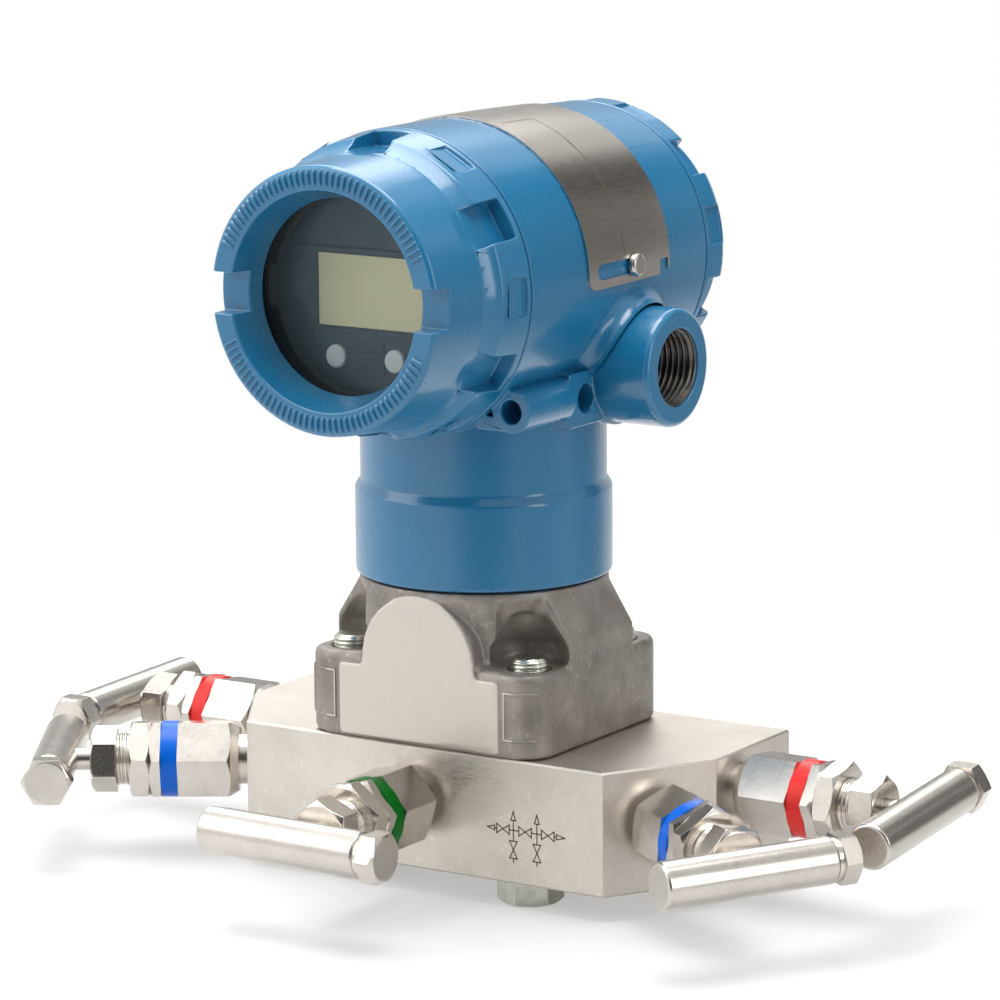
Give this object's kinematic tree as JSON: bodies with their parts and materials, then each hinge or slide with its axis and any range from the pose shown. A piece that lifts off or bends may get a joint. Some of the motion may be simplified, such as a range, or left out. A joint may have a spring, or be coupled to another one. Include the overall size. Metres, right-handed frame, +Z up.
{
  "type": "pressure transmitter",
  "caption": "Differential pressure transmitter with a blue field housing and local display, bolted on a stainless valve manifold with T-bar needle valves.",
  "frame": {"origin": "on the neck axis, at the underside of the manifold block, which is the process face", "axes": "+Z up along the neck, -Y towards the display, +X towards the open conduit entry"},
  "size_m": [0.2766, 0.1649, 0.2112],
  "materials": {
    "block_steel": "fine brushed",
    "cast_steel": "bead blasted",
    "thin_steel": "smooth",
    "white_ptfe": "matte",
    "zinc_bolt": "yellow zinc plated",
    "black_rubber": "matte",
    "blue_paint": "semi-gloss",
    "plate_steel": "satin",
    "turned_steel": "turned",
    "valve_steel": "machined",
    "bar_steel": "polished",
    "black_plastic": "textured",
    "lcd_film": "satin",
    "pale_plastic": "satin",
    "clear_glass": "clear",
    "green_sleeve": "gloss",
    "blue_sleeve": "gloss",
    "red_sleeve": "gloss"
  },
  "bodies": {
    "base": {"manifold_block": "block_steel", "flange_bolts": "zinc_bolt", "sensor_module": "cast_steel", "process_gaskets": "white_ptfe", "isolating_diaphragms": "thin_steel", "neck_seal": "black_rubber", "lock_nuts": "turned_steel", "packing_nuts": "turned_steel", "stem_packings": "white_ptfe", "green_band": "green_sleeve", "blue_bands": "blue_sleeve", "red_bands": "red_sleeve", "vent_bonnet": "valve_steel", "isolate_right_bonnet": "valve_steel", "isolate_left_bonnet": "valve_steel", "equalize_right_bonnet": "valve_steel", "equalize_left_bonnet": "valve_steel"},
    "head": {"housing": "blue_paint", "nameplate": "plate_steel", "nameplate_screws": "plate_steel", "conduit_plug": "turned_steel", "terminal_block": "black_plastic", "terminal_screws": "turned_steel", "electronics": "black_plastic", "meter_case": "black_plastic", "lcd_panel": "lcd_film"},
    "front_seal_ring": {"front_seal": "black_rubber"},
    "front_cover_turned": {"front_cover": "blue_paint", "window_glass": "clear_glass", "glass_retainer": "turned_steel"},
    "rear_seal_ring": {"rear_seal": "black_rubber"},
    "rear_cover_turned": {"rear_cover": "blue_paint"},
    "button_left": {"left_button": "pale_plastic"},
    "button_right": {"right_button": "pale_plastic"},
    "vent_needle": {"vent_tip": "turned_steel"},
    "vent_handle_turned": {"vent_stem": "turned_steel", "vent_handle": "bar_steel", "vent_handle_bolt": "turned_steel"},
    "isolate_right_needle": {"isolate_right_tip": "turned_steel"},
    "isolate_right_handle_turned": {"isolate_right_stem": "turned_steel", "isolate_right_handle": "bar_steel", "isolate_right_handle_bolt": "turned_steel"},
    "isolate_left_needle": {"isolate_left_tip": "turned_steel"},
    "isolate_left_handle_turned": {"isolate_left_stem": "turned_steel", "isolate_left_handle": "bar_steel", "isolate_left_handle_bolt": "turned_steel"},
    "equalize_right_needle": {"equalize_right_tip": "turned_steel"},
    "equalize_right_handle_turned": {"equalize_right_stem": "turned_steel", "equalize_right_handle": "bar_steel", "equalize_right_handle_bolt": "turned_steel"},
    "equalize_left_needle": {"equalize_left_tip": "turned_steel"},
    "equalize_left_handle_turned": {"equalize_left_stem": "turned_steel", "equalize_left_handle": "bar_steel", "equalize_left_handle_bolt": "turned_steel"}
  },
  "joints": [
    {"name": "head_turn", "type": "hinge", "parent": "base", "child": "head", "pos_m": [0, 0, 0.0786], "axis": [0, 0, 1], "range_deg": [-180, 180]},
    {"name": "front_cover_travel", "type": "slide", "parent": "head", "child": "front_seal_ring", "axis": [0, -1, 0], "range_m": [0, 0.01]},
    {"name": "front_cover_turn", "type": "hinge", "parent": "front_seal_ring", "child": "front_cover_turned", "pos_m": [0, -0.0402, 0.1623], "axis": [0, -1, 0], "range_deg": [0, 1800]},
    {"name": "rear_cover_travel", "type": "slide", "parent": "head", "child": "rear_seal_ring", "axis": [0, 1, 0], "range_m": [0, 0.01]},
    {"name": "rear_cover_turn", "type": "hinge", "parent": "rear_seal_ring", "child": "rear_cover_turned", "pos_m": [0, 0.0533, 0.1623], "axis": [0, 1, 0], "range_deg": [0, 1800]},
    {"name": "left_button_push", "type": "slide", "parent": "head", "child": "button_left", "axis": [0, 1, 0], "range_m": [0, 0.001], "stiffness_N_per_m": 400},
    {"name": "right_button_push", "type": "slide", "parent": "head", "child": "button_right", "axis": [0, 1, 0], "range_m": [0, 0.001], "stiffness_N_per_m": 400},
    {"name": "vent_travel", "type": "slide", "parent": "base", "child": "vent_needle", "axis": [0, -1, 0], "range_m": [0, 0.00445]},
    {"name": "vent_turn", "type": "hinge", "parent": "vent_needle", "child": "vent_handle_turned", "pos_m": [-0.0026, -0.0326, 0.0196], "axis": [0, -1, 0], "range_deg": [0, 1260]},
    {"name": "isolate_right_travel", "type": "slide", "parent": "base", "child": "isolate_right_needle", "axis": [0.8505, -0.5261, 0], "range_m": [0, 0.00445]},
    {"name": "isolate_right_turn", "type": "hinge", "parent": "isolate_right_needle", "child": "isolate_right_handle_turned", "pos_m": [0.06674, -0.01847, 0.0193], "axis": [0.8505, -0.5261, 0], "range_deg": [0, 1260]},
    {"name": "isolate_left_travel", "type": "slide", "parent": "base", "child": "isolate_left_needle", "axis": [-0.8505, -0.5261, 0], "range_m": [0, 0.00445]},
    {"name": "isolate_left_turn", "type": "hinge", "parent": "isolate_left_needle", "child": "isolate_left_handle_turned", "pos_m": [-0.06674, -0.01847, 0.0196], "axis": [-0.8505, -0.5261, 0], "range_deg": [0, 1260]},
    {"name": "equalize_right_travel", "type": "slide", "parent": "base", "child": "equalize_right_needle", "axis": [1, 0, 0], "range_m": [0, 0.00445]},
    {"name": "equalize_right_turn", "type": "hinge", "parent": "equalize_right_needle", "child": "equalize_right_handle_turned", "pos_m": [0.076, 0.0089, 0.0239], "axis": [1, 0, 0], "range_deg": [0, 1260]},
    {"name": "equalize_left_travel", "type": "slide", "parent": "base", "child": "equalize_left_needle", "axis": [-1, 0, 0], "range_m": [0, 0.00445]},
    {"name": "equalize_left_turn", "type": "hinge", "parent": "equalize_left_needle", "child": "equalize_left_handle_turned", "pos_m": [-0.076, 0.0098, 0.0233], "axis": [-1, 0, 0], "range_deg": [0, 1260]}
  ],
  "couplings": [
    {"joint": "front_cover_travel", "follows": "front_cover_turn", "m_per_rad": 0.00031831},
    {"joint": "rear_cover_travel", "follows": "rear_cover_turn", "m_per_rad": 0.00031831},
    {"joint": "vent_travel", "follows": "vent_turn", "m_per_rad": 0.00020213},
    {"joint": "isolate_right_travel", "follows": "isolate_right_turn", "m_per_rad": 0.00020213},
    {"joint": "isolate_left_travel", "follows": "isolate_left_turn", "m_per_rad": 0.00020213},
    {"joint": "equalize_right_travel", "follows": "equalize_right_turn", "m_per_rad": 0.00020213},
    {"joint": "equalize_left_travel", "follows": "equalize_left_turn", "m_per_rad": 0.00020213}
  ]
}
